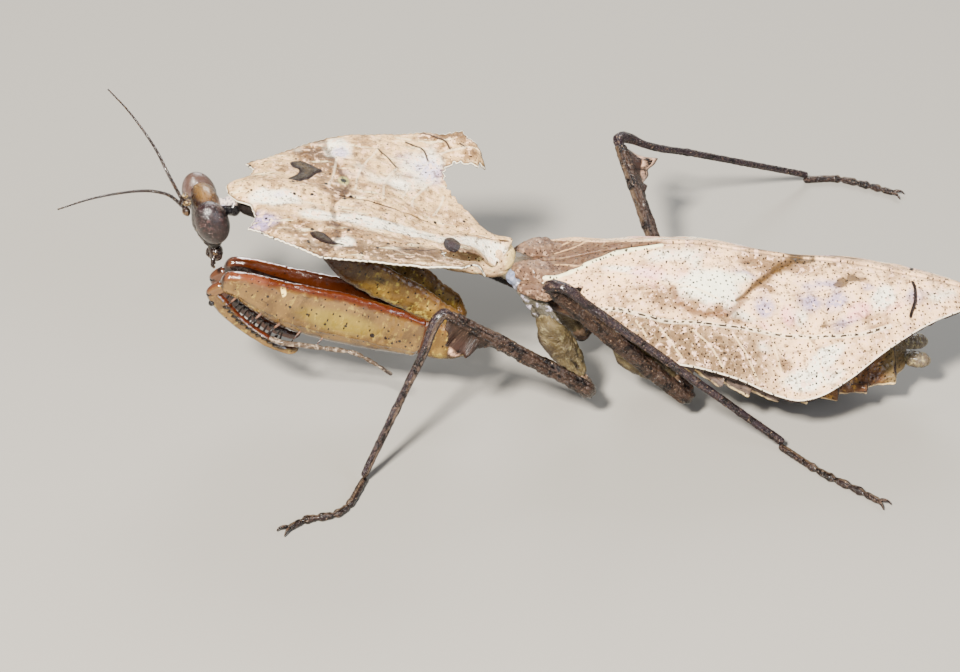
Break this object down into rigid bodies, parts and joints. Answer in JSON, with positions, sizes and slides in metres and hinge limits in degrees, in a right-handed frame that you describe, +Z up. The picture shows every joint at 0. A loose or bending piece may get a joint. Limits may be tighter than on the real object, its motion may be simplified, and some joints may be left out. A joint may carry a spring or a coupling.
{
  "type": "giant dead leaf mantis model",
  "caption": "Life-size still model of a leaf-mimicking mantis with a broad notched shield, roof-like wing cases, folded grasping forelegs and slender walking legs on a flat floor.",
  "frame": {"origin": "on the floor, under the middle of the model's bounding box", "axes": "+X runs along the body from the head to the tail, +Y to the animal's right-hand side, +Z up from the floor"},
  "size_m": [0.0848, 0.0612, 0.0284],
  "materials": {
    "shield_cuticle": "dry, wrinkled, cream to tan with dark dots and blotches",
    "head_cuticle": "satin, granular, tan to brown",
    "eye": "glossy, finely faceted, purple brown",
    "horn_brown": "satin dark brown",
    "membrane": "soft, whitish, wrinkled",
    "wing_case": "dry leaf-like, pinkish cream with raised veins and dark dots",
    "hind_wing": "smoky brown membrane",
    "belly_cuticle": "satin orange tan with pale scale edges",
    "foreleg_cuticle": "waxy ochre with dark dots",
    "bark_brown_cuticle": "rough, dark bark brown with pale flecks"
  },
  "bodies": {
    "root": {"pronotum_shield": "shield_cuticle", "prothorax": "shield_cuticle", "mesothorax": "shield_cuticle", "head": "head_cuticle", "eye_left": "eye", "eye_right": "eye", "mouthparts": "horn_brown", "antenna_left": "horn_brown", "antenna_right": "horn_brown", "neck": "membrane", "tegmen_left": "wing_case", "tegmen_right": "wing_case", "hindwing_left": "hind_wing", "hindwing_right": "hind_wing", "metathorax": "belly_cuticle", "abdomen": "belly_cuticle", "cercus_left": "belly_cuticle", "cercus_right": "belly_cuticle", "fore_coxa_left": "foreleg_cuticle", "fore_trochanter_left": "foreleg_cuticle", "fore_femur_left": "foreleg_cuticle", "fore_tibia_left": "foreleg_cuticle", "fore_tarsus_left": "foreleg_cuticle", "mid_coxa_left": "foreleg_cuticle", "mid_femur_left": "bark_brown_cuticle", "mid_tibia_left": "bark_brown_cuticle", "mid_tarsus_left": "bark_brown_cuticle", "hind_coxa_left": "foreleg_cuticle", "hind_femur_left": "bark_brown_cuticle", "hind_tibia_left": "bark_brown_cuticle", "hind_tarsus_left": "bark_brown_cuticle", "fore_coxa_right": "foreleg_cuticle", "fore_trochanter_right": "foreleg_cuticle", "fore_femur_right": "foreleg_cuticle", "fore_tibia_right": "foreleg_cuticle", "fore_tarsus_right": "foreleg_cuticle", "mid_coxa_right": "foreleg_cuticle", "mid_femur_right": "bark_brown_cuticle", "mid_tibia_right": "bark_brown_cuticle", "mid_tarsus_right": "bark_brown_cuticle", "hind_coxa_right": "foreleg_cuticle", "hind_femur_right": "bark_brown_cuticle", "hind_tibia_right": "bark_brown_cuticle", "hind_tarsus_right": "bark_brown_cuticle"}
  },
  "joints": []
}
